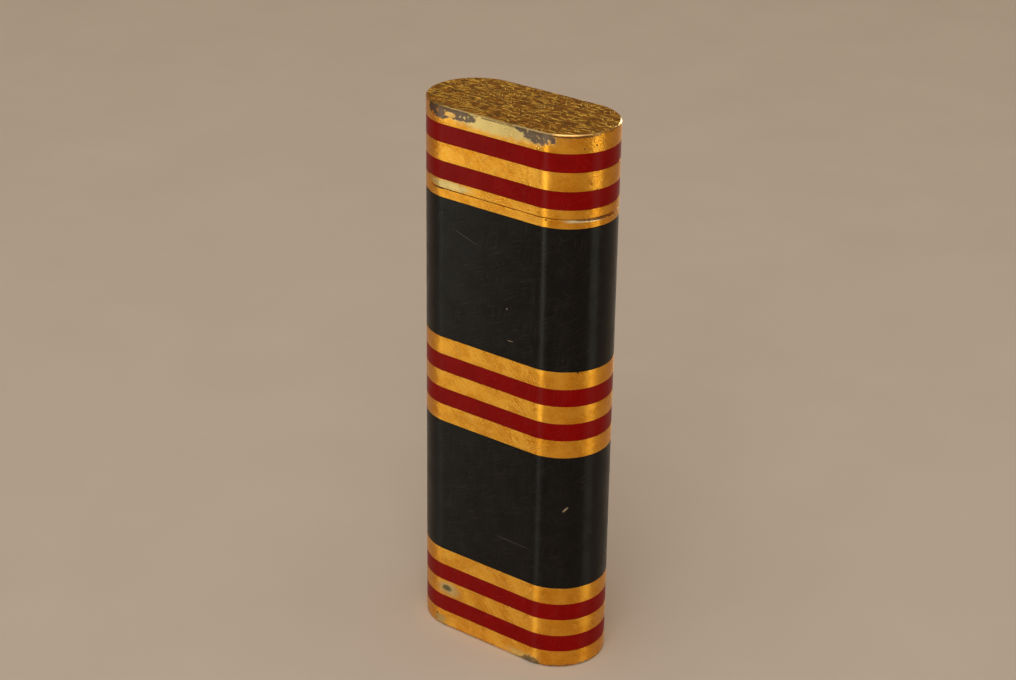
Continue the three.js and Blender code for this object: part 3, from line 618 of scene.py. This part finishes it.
coat, flat, colour = lacquer("black_lacquer", (0.0020, 0.0021, 0.0025), (0.0034, 0.0035, 0.0040), 0.30, 0.19)
chips = coat.most(
    coat.streak(flat, (10.8, 22.0), (11.5, 22.7), 0.28), coat.blot(flat, (2.7, 47.1), (0.1, 0.1)),
    coat.streak(flat, (2.8, 43.1), (3.7, 43.1), 0.1),
)
scores = coat.most(
    coat.streak(flat, (-5.6, 55.2), (-1.4, 53.9), 0.09), coat.streak(flat, (1.35, 16.2), (6.8, 16.1), 0.08),
)
colour = coat.mix(coat.math("MULTIPLY", chips, 0.8), colour, (0.45, 0.36, 0.25))
colour = coat.mix(coat.math("MULTIPLY", scores, 0.2), colour, (0.30, 0.26, 0.22))
coat.feed(coat.shader.inputs["Base Color"], colour)
coat.dents(coat.most(chips, scores), 0.5, -0.03)
black = coat.material

coat, flat, colour = lacquer("red_lacquer", (0.29, 0.0008, 0.0006), (0.33, 0.0014, 0.0009), 0.31, 0.075)
coat.feed(coat.shader.inputs["Base Color"], colour)
red = coat.material

for name in band_names:
    low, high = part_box(name)
    section = [(0, low.z), (0, high.z), (lacquer_depth, high.z), (lacquer_depth, low.z)]
    dark = name.startswith("black")
    band = oval_piece(name + "_coat", rounded(section, lacquer_corner), black if dark else red)
    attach(band, "lid" if "lid" in name else "case")
    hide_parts(name)

# ---- Lid -------------------------------------------------------------------------------------
# The cap that lifts: the same gold-plated brass with a flat top soldered in, most worn on the front
# of its top band where the thumb pushes it open.
gold, flat, colour, marks, mottle, fine = gold_plate("gold_plate_lid")
pale = gold.blot(flat, (1.4, 69.3), (7.0, 1.15), 0.5, 1.2, 0.4)
ledge = gold.blot(flat, (-6.0, 60.4), (3.0, 0.5), 0.5, 1.3, 0.4)
losses = gold.most(
    gold.blot(flat, (-7.6, 69.5), (2.1, 1.15), 0.35, 1.3, 0.12),
    gold.blot(flat, (-4.4, 69.35), (2.2, 0.65), 0.5, 1.6, 0.12),
    gold.blot(flat, (6.7, 69.55), (2.1, 1.05), 0.5, 1.5, 0.12),
    gold.blot(flat, (4.4, 69.9), (1.0, 0.5), 0.5, 1.9, 0.12),
)
islands = gold.step(gold.noise(gold.place, 2.0, 3), 0.60, 0.64)
losses = gold.math("MULTIPLY", losses, gold.math("SUBTRACT", 1.0, gold.math("MULTIPLY", islands, 0.85)))
left_island = gold.blot(flat, (-5.9, 69.15), (0.8, 0.3), 0.4, 2.0)
losses = gold.math("MULTIPLY", losses, gold.step(left_island, 0.0, 1.0, 1.0, 0.1))
pits = gold.most(
    gold.blot(flat, (12.3, 68.3), (0.15, 0.12)), gold.blot(flat, (13.8, 68.6), (0.12, 0.14)),
    gold.blot(flat, (13.2, 64.05), (0.16, 0.10)), gold.blot(flat, (14.0, 63.3), (0.12, 0.10)),
)
rim_line = gold.math("MULTIPLY", gold.step(gold.z, 69.62, 69.72), gold.step(gold.z, 69.88, 69.84))
rim_line = gold.math("MULTIPLY", rim_line, gold.step(gold.noise(gold.place, 0.8, 3), 0.40, 0.52))
rim_line = gold.math("MULTIPLY", rim_line, gold.step(gold.y, 1.0, -1.0))
rim_line = gold.most(rim_line, gold.blot(flat, (11.4, 69.74), (2.6, 0.13), 0.5, 1.8))
# Pale all round the top chamfer: wear on the edge, and a painted highlight where the chamfer faces the light.
edge_wear_and_highlight = gold.step(gold.z, 69.86, 69.90)
colour = gold.mix(gold.math("MULTIPLY", gold.most(pale, ledge), 0.8), colour, (0.72, 0.62, 0.28))
colour = gold.mix(gold.math("MULTIPLY", losses, 0.95), colour, (0.17, 0.125, 0.105))
colour = gold.mix(gold.math("MULTIPLY", rim_line, 0.8), colour, (0.16, 0.10, 0.05))
colour = gold.mix(gold.math("MULTIPLY", edge_wear_and_highlight, 0.7), colour, (0.78, 0.60, 0.28))
colour = gold.mix(gold.math("MULTIPLY", pits, 0.8), colour, (0.30, 0.15, 0.05))
pitted = gold.blot(flat, (14.0, 66.6), (1.4, 4.5), 0.3)
gold.dents(gold.math("MULTIPLY", gold.noise(gold.place, 3.2, 2), pitted), 0.7, 0.06)
lid_gold = finish_gold(gold, colour, marks, mottle, fine, gold.most(losses, pits))


def flat_gold(name, tone, dull, cut):
    """Gold plate on a flat face that has slid about on tables: dull, and crossed with scratches painted
    brighter as a painted glint.
    """
    face = Finish(name, 1.0, 0.3)
    plan = face.join(face.x, face.y, 0.0)
    scratches_and_glints = face.most(
        face.lines(plan, 6, 0.20, 2.2, cut + 0.03), face.lines(plan, -14, 0.18, 1.9, cut + 0.04),
        face.lines(plan, 33, 0.17, 1.5, cut + 0.06), face.lines(plan, 82, 0.16, 1.3, cut + 0.09),
        face.lines(plan, -52, 0.16, 1.3, cut + 0.08),
    )
    cloud = face.step(face.noise(face.place, 0.8, 5, 0.6), 0.42, 0.60)
    grain = face.noise(face.place, 9.0, 3, 0.6)
    colour = face.mix(cloud, tone, dull)
    colour = face.mix(face.step(grain, 0.45, 0.75, 0.0, 0.3), colour, (0.80, 0.44, 0.03))
    # The scratches are real wear; their brighter gold is a painted glint.
    colour = face.mix(scratches_and_glints, colour, (1.0, 0.70, 0.12))
    face.feed(face.shader.inputs["Base Color"], colour)
    face.feed(face.shader.inputs["Roughness"], face.math("MULTIPLY_ADD", scratches_and_glints, 0.34, 0.28))
    face.dents(scratches_and_glints, 0.8, 0.04)
    face.dents(grain, 0.3, 0.02)
    return face.material


top_gold = flat_gold("gold_plate_top", (0.62, 0.30, 0.006), (0.32, 0.155, 0.004), 0.62)

lid_edge = 0.15 * MM
lid_corner = 0.03 * MM
lid_ceiling = lid_high.z - 0.8 * MM
section = [(end_radius, lid_ceiling), (case_wall, lid_ceiling), (case_wall, lid_low.z), (0, lid_low.z)]
section += grooves(lid_low.z, lid_high.z)
section += [(0, lid_high.z - lid_edge), (lid_edge, lid_high.z), (end_radius, lid_high.z)]
lid = oval_piece("lid_skin", rounded(section, lid_corner, closed=False), lid_gold, closed=False)
window = block(window_x, window_y, (lid_low.z - beyond, lid_low.z + window_step))
lid = carve(lid, "DIFFERENCE", window)
lid.data.materials.append(top_gold)
top_level = lid_high.z - 0.02 * MM
for face in lid.data.polygons:
    if face.normal.z > 0.99 and face.center.z > top_level:
        face.material_index = len(lid.data.materials) - 1
sharp(lid.data, 30)
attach(lid, "lid")
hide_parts("lid_shell")

# ---- Hinge -----------------------------------------------------------------------------------
# A gold-plated bar fills the window at the narrow end, flush with the case. It carries a steel pin
# for the brass leaf that is riveted inside the lid.
def machined(name, tone, dark, roughness):
    """Bare or plated metal with the marks of the tool on every side."""
    metal = Finish(name, 1.0, roughness)
    cloud = metal.noise(metal.place, 0.7, 4)
    fine = metal.noise(metal.place, 7.0, 3)
    mark = 0.07
    cuts = metal.most(
        metal.lines(metal.join(metal.x, metal.z, 0.0), 20, mark, 1.6, 0.62),
        metal.lines(metal.join(metal.y, metal.z, 0.0), -33, mark, 1.3, 0.62),
        metal.lines(metal.join(metal.x, metal.y, 0.0), 57, mark, 1.1, 0.62),
    )
    colour = metal.mix(metal.step(cloud, 0.35, 0.68), dark, tone)
    bright = tuple(min(1.0, part * 1.25 + 0.05) for part in tone)
    colour = metal.mix(metal.math("MULTIPLY", cuts, 0.5), colour, bright)
    metal.feed(metal.shader.inputs["Base Color"], colour)
    rough = metal.step(fine, 0.3, 0.7, roughness - 0.05, roughness + 0.1)
    metal.feed(metal.shader.inputs["Roughness"], rough)
    metal.dents(cuts, 0.25, -0.015)
    metal.dents(fine, 0.15, 0.01)
    return metal.material


brass = machined("raw_brass", (0.72, 0.46, 0.17), (0.42, 0.25, 0.09), 0.33)
steel = machined("ground_steel", (0.46, 0.45, 0.43), (0.26, 0.25, 0.24), 0.30)

pin_low, pin_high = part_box("hinge_pin")
bar_low, bar_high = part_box("hinge_barrel")
pin_x, pin_z = (pin_low.x + pin_high.x) / 2, (pin_low.z + pin_high.z) / 2
bar_half = bar_high.z - pin_z
bar_wall = 1.2 * MM
bar_blank = 4 * MM
bar_arc = 24
profile = [(bar_high.x, pin_z + bar_half), (bar_high.x, pin_z - bar_half)]
for step in range(bar_arc + 1):
    angle = math.radians(-90 - 180 * step / bar_arc)
    profile.append((pin_x + bar_half * math.cos(angle), pin_z + bar_half * math.sin(angle)))
blank_low, blank_high = pin_z - bar_blank, pin_z + bar_blank
section = [(0, blank_low), (0, blank_high), (bar_wall, blank_high), (bar_wall, blank_low)]
bar = oval_piece("hinge_bar", section, casing_gold)
bar = carve(bar, "INTERSECT", prism(profile, bar_low.y, bar_high.y))

foot_start, foot_end, bridge_end = pin_x + 0.9 * MM, pin_x + 1.5 * MM, pin_x + 2.05 * MM
foot_half = 4 * MM
knuckle_half = 0.85 * MM
bridge_half = 1 * MM
foot = block((foot_start, foot_end), (-foot_half, foot_half), (bar_low.z, pin_z + 0.3 * MM))
bar = carve(bar, "UNION", foot)
gap_x, gap_z = (-beyond, foot_end + 0.05 * MM), (bar_low.z - beyond, bar_high.z + beyond)
gap = block(gap_x, (-knuckle_half, knuckle_half), gap_z)
bar = carve(bar, "DIFFERENCE", gap)
bridge_x = (foot_end - 0.1 * MM, bridge_end)
bridge = block(bridge_x, (-bridge_half, bridge_half), (pin_z + 0.35 * MM, bar_high.z))
bar = carve(bar, "UNION", bridge)
pin_clearance = 0.05 * MM
pin_hole_radius = (pin_high.x - pin_low.x) / 2 + pin_clearance
pin_hole = []
for step in range(bar_arc):
    angle = 2 * math.pi * step / bar_arc
    pin_hole.append((pin_x + pin_hole_radius * math.cos(angle), pin_z + pin_hole_radius * math.sin(angle)))
bar = carve(bar, "DIFFERENCE", prism(pin_hole, pin_low.y - pin_clearance, pin_high.y + pin_clearance))
sharp(bar.data, 30)
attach(bar, "case")
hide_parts("hinge_barrel")


def refined(node, body, finish, edge):
    """A machined or pressed piece, with its edges broken by a few hundredths of a millimetre."""
    shape = bmesh.new()
    shape.from_mesh(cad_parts[node].data)
    bmesh.ops.remove_doubles(shape, verts=shape.verts, dist=1e-7)
    bmesh.ops.dissolve_limit(shape, angle_limit=math.radians(1), verts=shape.verts, edges=shape.edges)
    mesh = bpy.data.meshes.new(node)
    shape.to_mesh(mesh)
    shape.free()
    mesh.materials.clear()
    mesh.materials.append(finish)
    for face in mesh.polygons:
        face.material_index = 0
    mesh.shade_smooth()
    piece = object_from(node, mesh)
    rounding = piece.modifiers.new("edges", "BEVEL")
    rounding.width = edge * MM
    rounding.segments = 2
    rounding.angle_limit = math.radians(32)
    rounding.harden_normals = True
    piece = baked(piece, node + "_piece")
    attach(piece, body)
    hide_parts(node)


refined("hinge_pin", "case", steel, 0.04)
refined("lid_hinge_leaf", "lid", brass, 0.04)
refined("lid_liner", "lid", brass, 0.03)
refined("lid_spring", "case", steel, 0.03)
refined("spring_screw", "case", steel, 0.05)

# ---- Base ------------------------------------------------------------------------------------
# A gold-plated plate closes the foot. Three fittings come through it: the plated flint screw, and in
# brass the filling valve with its sprung stem and the screw that sets the height of the flame.
base_gold = flat_gold("gold_plate_base", (0.78, 0.42, 0.10), (0.52, 0.30, 0.08), 0.62)
refined("base_plate", "case", base_gold, 0.06)
refined("flint_screw", "flint_screw", base_gold, 0.06)
refined("filler_valve_body", "case", brass, 0.05)
refined("filler_stem", "filler_stem", brass, 0.05)
refined("flame_regulator", "flame_regulator", brass, 0.05)

# ---- Deck and wind guard ---------------------------------------------------------------------
# The chassis is pressed from nickel-plated brass: a deck with a collar that the lid closes over.
# The guard round the burner is folded from thin sheet, with a row of air slots in either side.
nickel = machined("nickel_plate", (0.64, 0.60, 0.55), (0.52, 0.48, 0.43), 0.24)
refined("deck_plate", "case", nickel, 0.05)
refined("striker_bracket", "case", nickel, 0.08)
refined("deck_screw_front", "case", steel, 0.06)
refined("deck_screw_back", "case", steel, 0.06)

sooted = machined("sooted_nickel", (0.50, 0.46, 0.40), (0.16, 0.14, 0.12), 0.30)
refined("windshield", "case", sooted, 0.06)

# ---- Burner ----------------------------------------------------------------------------------
# A brass valve stands in the tank. Its jet lifts on a small spring when the steel lever pulls it,
# and gas passes a disc of sintered bronze on the way up.
refined("burner_valve_body", "case", brass, 0.05)
refined("valve_nut", "case", brass, 0.06)
refined("burner_jet", "burner_jet", brass, 0.05)
refined("gas_lever", "gas_lever", steel, 0.05)
refined("lever_pin", "case", steel, 0.04)


def assign(node, finish):
    """Gives a piece whose shape is right already its finish."""
    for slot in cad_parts[node].material_slots:
        slot.material = finish


assign("fuel_tank", brass)
sintered = Finish("sintered_bronze", 1.0, 0.6)
grains = sintered.noise(sintered.place, 14.0, 2)
grain_tone = sintered.mix(grains, (0.20, 0.11, 0.05), (0.52, 0.33, 0.17))
sintered.feed(sintered.shader.inputs["Base Color"], grain_tone)
sintered.dents(grains, 0.8, 0.05)
assign("filter_disc", sintered.material)
rubber = Finish("black_rubber", 0.0, 0.6)
bloom = rubber.mix(rubber.noise(rubber.place, 3.0, 4), (0.012, 0.012, 0.012), (0.04, 0.038, 0.036))
rubber.feed(rubber.shader.inputs["Base Color"], bloom)
rubber.dents(rubber.noise(rubber.place, 12.0, 2), 0.3, 0.02)
for name in ("jet_seal", "regulator_seal", "filler_seal"):
    assign(name, rubber.material)

# ---- Springs -----------------------------------------------------------------------------------
# Three coils of plain steel wire: under the jet, under the flint and behind the filling valve.
coil = NodeTree("coil_spring", Coil=0.001, Wire=0.0003, Height=0.005, Turns=5.0, Steps=24, X=0.0, Z=0.0)
wire_path = coil.node("GeometryNodeCurveSpiral", {
    "Resolution": coil.size("Steps"), "Rotations": coil.size("Turns"), "Height": coil.size("Height"),
    "Start Radius": coil.size("Coil"), "End Radius": coil.size("Coil"),
})[0]
wire_radius = coil.math("DIVIDE", coil.size("Wire"), 2.0)
wire_section = coil.node("GeometryNodeCurvePrimitiveCircle", {"Resolution": 10, "Radius": wire_radius})[0]
wire_mesh = coil.node("GeometryNodeCurveToMesh", {
    "Curve": wire_path, "Profile Curve": wire_section, "Fill Caps": True,
})[0]
wire_place = coil.node("ShaderNodeCombineXYZ", {"X": coil.size("X"), "Z": coil.size("Z")})[0]
coil.finish(coil.node("GeometryNodeTransform", {"Geometry": wire_mesh, "Translation": wire_place})[0])

for name, wire, turns, joint, travel in (
    ("valve_spring", 0.3 * MM, 5, "burner_jet_lift", 0.62 * MM), ("flint_spring", 0.3 * MM, 9, None, 0),
    ("filler_spring", 0.22 * MM, 5, "filler_valve_press", 1.0 * MM),
):
    low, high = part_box(name)
    middle = (low.x + high.x) / 2
    spring = coil.grow(
        name + "_wire", bpy.data.meshes.new("empty"), steel,
        Coil=(high.y - low.y - wire) / 2, Wire=wire, Height=high.z - low.z - wire, Turns=float(turns),
        Steps=24, X=middle, Z=low.z + wire / 2,
    )
    spring.data.shade_smooth()
    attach(spring, "case")
    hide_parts(name)
    if joint:
        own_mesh(spring)

# ---- Striker -----------------------------------------------------------------------------------
# A hardened wheel with cut teeth turns between two knurled thumb rims on a steel axle. The flint
# stands in its brass tube under the wheel, pushed up by the plunger on its spring.
tooth_band = 0.35 * MM
toothed = NodeTree(
    "toothed_wheel", Radius=0.0032, Teeth=30, Depth=0.0003, Rise=0.62, Lean=0.0, X=0.0, Y=0.0, Z=0.0,
)
wheel_facets = toothed.math("MULTIPLY", toothed.size("Teeth"), 8.0)
wheel_path = toothed.node("GeometryNodeCurvePrimitiveCircle", {
    "Resolution": wheel_facets, "Radius": toothed.size("Radius"),
})[0]
wheel_section = toothed.node("GeometryNodeMeshToCurve", {"Mesh": toothed.start.outputs["Geometry"]})[0]
wheel_mesh = toothed.node("GeometryNodeCurveToMesh", {"Curve": wheel_path, "Profile Curve": wheel_section})[0]
wheel_point = toothed.node("GeometryNodeInputPosition")[0]
wheel_parts = toothed.node("ShaderNodeSeparateXYZ", {0: wheel_point})

# Each tooth falls over one share of its pitch and rises over the rest. The lean sets the teeth askew.
wheel_turns = toothed.math("DIVIDE", toothed.math("ARCTAN2", wheel_parts[1], wheel_parts[0]), 2 * math.pi)
tooth_count = toothed.math("MULTIPLY", wheel_turns, toothed.size("Teeth"))
tooth_lean = toothed.math("MULTIPLY", wheel_parts[2], toothed.size("Lean"))
tooth_phase = toothed.math("ADD", toothed.math("ADD", tooth_count, tooth_lean), 1000.03)
tooth_phase = toothed.math("FRACT", tooth_phase)
tooth_fall = toothed.math("DIVIDE", tooth_phase, toothed.size("Rise"))
rise_share = toothed.math("SUBTRACT", 1.0, toothed.size("Rise"))
tooth_rise = toothed.math("DIVIDE", toothed.math("SUBTRACT", 1.0, tooth_phase), rise_share)
tooth_cut = toothed.math("MINIMUM", tooth_fall, tooth_rise)
wheel_level = toothed.node("ShaderNodeCombineXYZ", {"X": wheel_parts[0], "Y": wheel_parts[1]})[0]
wheel_reach = toothed.node("ShaderNodeVectorMath", {0: wheel_level}, operation="LENGTH")[1]
band_start = toothed.math("SUBTRACT", toothed.size("Radius"), tooth_band)
wheel_face = toothed.math("GREATER_THAN", wheel_reach, band_start)
tooth_depth = toothed.math("MULTIPLY", tooth_cut, wheel_face)
tooth_depth = toothed.math("MULTIPLY", tooth_depth, toothed.size("Depth"))
tooth_share = toothed.math("MULTIPLY", toothed.math("DIVIDE", tooth_depth, wheel_reach), -1.0)
tooth_move = toothed.node(
    "ShaderNodeVectorMath", {0: wheel_level, "Scale": tooth_share}, operation="SCALE",
)[0]
wheel_mesh = toothed.node("GeometryNodeSetPosition", {"Geometry": wheel_mesh, "Offset": tooth_move})[0]
wheel_place = toothed.node("ShaderNodeCombineXYZ", {
    "X": toothed.size("X"), "Y": toothed.size("Y"), "Z": toothed.size("Z"),
})[0]
wheel_mesh = toothed.node("GeometryNodeTransform", {
    "Geometry": wheel_mesh, "Translation": wheel_place, "Rotation": (math.radians(90), 0, 0),
})[0]
toothed.finish(wheel_mesh)

axle_low, axle_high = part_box("striker_axle")
axle_clearance = 0.07 * MM
bore_radius = (axle_high.x - axle_low.x) / 2 + axle_clearance
striker_x, striker_z = (axle_low.x + axle_high.x) / 2, (axle_low.z + axle_high.z) / 2


def wheel(node, teeth, depth, rise, lean, finish):
    """A toothed wheel with broken edges, a bore and a shallow dish in either side."""
    low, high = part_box(node)
    radius = (high.x - low.x) / 2
    half = (high.y - low.y) / 2
    edge, dish = 0.12 * MM, 0.12 * MM
    land, lip = 0.45 * MM, 0.5 * MM
    dish_end = 1.5 * MM
    bore = radius - bore_radius
    outline = [
        (0, -half + edge), (0, -half / 3), (0, half / 3), (0, half - edge), (edge, half), (land, half),
        (lip, half - dish), (dish_end, half - dish), (dish_end + dish, half), (bore, half),
        (bore, -half), (dish_end + dish, -half), (dish_end, -half + dish), (lip, -half + dish),
        (land, -half), (edge, -half),
    ]
    mesh = bpy.data.meshes.new("section")
    count = len(outline)
    edges = [(index, (index + 1) % count) for index in range(count)]
    mesh.from_pydata([(-inset, height, 0) for inset, height in outline], edges, [])
    piece = toothed.grow(
        node + "_cut", mesh, finish, Radius=radius, Teeth=teeth, Depth=depth, Rise=rise, Lean=lean,
        X=striker_x, Y=(low.y + high.y) / 2, Z=striker_z,
    )
    shape = bmesh.new()
    shape.from_mesh(piece.data)
    bmesh.ops.remove_doubles(shape, verts=shape.verts, dist=1e-7)
    bmesh.ops.recalc_face_normals(shape, faces=shape.faces)
    shape.to_mesh(piece.data)
    shape.free()
    sharp(piece.data, 28)
    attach(piece, "striker")
    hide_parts(node)


hard_steel = machined("hardened_steel", (0.20, 0.19, 0.18), (0.08, 0.075, 0.07), 0.36)
wheel("striker_wheel", 30, 0.28 * MM, 0.62, 450.0, hard_steel)
wheel("thumb_rim_front", 24, 0.18 * MM, 0.5, 0.0, nickel)
wheel("thumb_rim_back", 24, 0.18 * MM, 0.5, 0.0, nickel)
refined("striker_axle", "striker", steel, 0.08)

ferrocerium = machined("flint_alloy", (0.16, 0.14, 0.12), (0.05, 0.045, 0.04), 0.55)
assign("flint", ferrocerium)
assign("flint_plunger", brass)
refined("flint_tube", "case", brass, 0.06)
